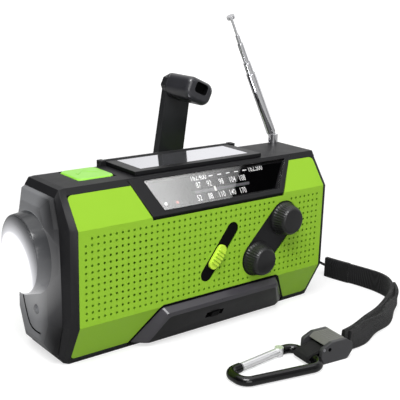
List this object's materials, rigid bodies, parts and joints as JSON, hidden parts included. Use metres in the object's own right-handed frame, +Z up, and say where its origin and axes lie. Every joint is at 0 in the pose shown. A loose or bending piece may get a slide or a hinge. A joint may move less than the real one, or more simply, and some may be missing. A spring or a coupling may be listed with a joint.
{
  "type": "hand crank generator",
  "caption": "Hand-cranked generator radio with an end torch, a tuning dial and knobs, a flip-up solar lid, a fold-out crank arm on the rear, a telescopic aerial and a wrist strap.",
  "frame": {"origin": "middle of the flat base face, on the floor", "axes": "+Z up, +X along the case towards the strap and aerial end, -Y out of the front with the dial and knobs"},
  "size_m": [0.1914, 0.1309, 0.1432],
  "materials": {
    "black_plastic": "fine spark-eroded black ABS, satin",
    "green_plastic": "satin lime green ABS",
    "lime_plastic": "satin light lime ABS",
    "button_green": "semi-gloss green key",
    "grey_plastic": "silver-grey painted plastic, semi-gloss",
    "block_plastic": "semi-gloss charcoal plastic",
    "knob_black": "semi-gloss black",
    "grip_black": "glossy black",
    "clear_lens": "clear moulded polycarbonate",
    "white_scale": "printed black scale",
    "pointer_red": "orange-red",
    "milky_lens": "milky diffuser",
    "mirror_bowl": "vacuum-metallised reflector",
    "led_yellow": "LED on an aluminium star board",
    "solar_cell": "glass-faced solar cell",
    "chrome": "polished chrome plate",
    "black_metal": "black anodised aluminium",
    "steel": "plain steel",
    "gear_nylon": "natural acetal",
    "board_green": "solder-masked circuit board",
    "part_grey": "moulded component body",
    "cell_wrap": "plain shrink-wrapped cell",
    "door_black": "satin black ABS",
    "usb_metal": "stamped steel shell",
    "flap_rubber": "soft black rubber",
    "webbing": "black woven nylon",
    "buckle_black": "satin black acetal"
  },
  "bodies": {
    "case": {"front_housing": "black_plastic", "rear_housing": "green_plastic", "crank_turret": "black_plastic", "top_deck": "black_plastic", "end_cap": "black_plastic", "torch_frame": "black_plastic", "torch_bezel": "grey_plastic", "torch_lens": "clear_lens", "torch_reflector": "mirror_bowl", "torch_led": "led_yellow", "charge_lamp": "milky_lens", "front_panel": "green_plastic", "dial_bezel": "black_plastic", "dial_window": "clear_lens", "dial_scale": "white_scale", "control_pots": "part_grey", "band_switch": "part_grey", "base_block": "block_plastic", "power_spring": "steel", "reading_lamp": "milky_lens", "stator": "steel", "gear_plate": "black_plastic", "circuit_board": "board_green", "speaker": "part_grey", "battery_pack": "cell_wrap", "aaa_cells": "cell_wrap", "battery_door": "door_black", "ferrite_rod": "part_grey", "usb_port": "usb_metal", "case_screws": "steel", "strap_cord": "webbing", "strap_webbing": "webbing", "strap_buckle": "buckle_black", "strap_loop": "webbing", "carabiner": "black_metal"},
    "pointer": {"dial_pointer": "pointer_red"},
    "tuning": {"tuning_knob": "knob_black"},
    "volume": {"volume_knob": "knob_black"},
    "band": {"band_slider": "lime_plastic"},
    "selector": {"selector_slider": "knob_black"},
    "button": {"power_button": "button_green"},
    "lid": {"solar_lid": "knob_black", "solar_panel": "solar_cell"},
    "crank": {"crank_hub": "black_plastic", "crank_shaft": "steel", "drive_gear": "gear_nylon", "fold_pin": "steel"},
    "arm": {"crank_arm": "black_plastic"},
    "grip": {"crank_grip": "grip_black"},
    "idler": {"idler_gear": "gear_nylon"},
    "rotor": {"generator_rotor": "gear_nylon"},
    "flap": {"port_cover": "flap_rubber"},
    "aerial_post": {"antenna_socket": "chrome"},
    "mast": {"antenna_knuckle": "chrome", "antenna_section_a": "chrome"},
    "stage_b": {"antenna_section_b": "chrome"},
    "stage_c": {"antenna_section_c": "chrome"},
    "stage_d": {"antenna_section_d": "chrome"},
    "whip": {"antenna_rod": "chrome"},
    "gate": {"carabiner_gate": "chrome"}
  },
  "joints": [
    {"name": "crank_spin", "type": "hinge", "parent": "case", "child": "crank", "pos_m": [0.031, 0.04, 0.059], "axis": [0, 1, 0], "continuous": true},
    {"name": "crank_fold", "type": "hinge", "parent": "crank", "child": "arm", "pos_m": [0.031, 0.0462, 0.059], "axis": [-0.9914, 0, 0.1305], "range_deg": [0, 180]},
    {"name": "grip_spin", "type": "hinge", "parent": "arm", "child": "grip", "pos_m": [0.03698, 0.0344, 0.10441], "axis": [0, 1, 0], "continuous": true},
    {"name": "idler_spin", "type": "hinge", "parent": "case", "child": "idler", "pos_m": [0.019, 0.008, 0.05], "axis": [0, 1, 0], "continuous": true},
    {"name": "rotor_spin", "type": "hinge", "parent": "case", "child": "rotor", "pos_m": [0.01072, 0.01, 0.03896], "axis": [0, 1, 0], "continuous": true},
    {"name": "lid_tilt", "type": "hinge", "parent": "case", "child": "lid", "pos_m": [0.01, 0.014, 0.0782], "axis": [-1, 0, 0], "range_deg": [0, 75]},
    {"name": "antenna_swivel", "type": "hinge", "parent": "case", "child": "aerial_post", "pos_m": [0.075, 0.0115, 0.077], "axis": [0, 0, 1], "range_deg": [0, 180]},
    {"name": "antenna_tilt", "type": "hinge", "parent": "aerial_post", "child": "mast", "pos_m": [0.075, 0.0115, 0.0796], "axis": [0, 1, 0], "range_deg": [-18, 37]},
    {"name": "antenna_slide_b", "type": "slide", "parent": "mast", "child": "stage_b", "axis": [-0.454, 0, 0.891], "range_m": [-0.0056, 0.018]},
    {"name": "antenna_slide_c", "type": "slide", "parent": "stage_b", "child": "stage_c", "axis": [-0.454, 0, 0.891], "range_m": [-0.01, 0.018]},
    {"name": "antenna_slide_d", "type": "slide", "parent": "stage_c", "child": "stage_d", "axis": [-0.454, 0, 0.891], "range_m": [-0.0042, 0.018]},
    {"name": "antenna_slide_rod", "type": "slide", "parent": "stage_d", "child": "whip", "axis": [-0.454, 0, 0.891], "range_m": [-0.0086, 0.018]},
    {"name": "tuning_turn", "type": "hinge", "parent": "case", "child": "tuning", "pos_m": [0.051, -0.028, 0.0487], "axis": [0, 1, 0], "range_deg": [-101, 167]},
    {"name": "pointer_travel", "type": "slide", "parent": "case", "child": "pointer", "axis": [1, 0, 0], "range_m": [-0.0122, 0.0201]},
    {"name": "volume_turn", "type": "hinge", "parent": "case", "child": "volume", "pos_m": [0.0345, -0.028, 0.0316], "axis": [0, 1, 0], "range_deg": [-150, 120]},
    {"name": "band_slide", "type": "slide", "parent": "case", "child": "band", "axis": [0.6046, 0, 0.7965], "range_m": [-0.0053, 0.0106]},
    {"name": "selector_slide", "type": "slide", "parent": "case", "child": "selector", "axis": [1, 0, 0], "range_m": [-0.0024, 0.0024]},
    {"name": "button_press", "type": "slide", "parent": "case", "child": "button", "axis": [0, 0, -1], "range_m": [0, 0.0008], "stiffness_N_per_m": 300, "springref_m": -0.0006, "deforming": ["power_spring"]},
    {"name": "port_flap", "type": "hinge", "parent": "case", "child": "flap", "pos_m": [-0.05685, 0.02365, 0.04], "axis": [0, 0, 1], "range_deg": [0, 110]},
    {"name": "gate_swing", "type": "hinge", "parent": "case", "child": "gate", "pos_m": [0.0173, -0.0601, 0.0023], "axis": [0, 0, 1], "range_deg": [0, 20], "stiffness_Nm_per_rad": 0.02, "springref_deg": -5.73}
  ],
  "couplings": [
    {"joint": "idler_spin", "follows": "crank_spin", "ratio": -4},
    {"joint": "rotor_spin", "follows": "crank_spin", "ratio": 14.4},
    {"joint": "pointer_travel", "follows": "tuning_turn", "m_per_rad": 0.006855}
  ]
}
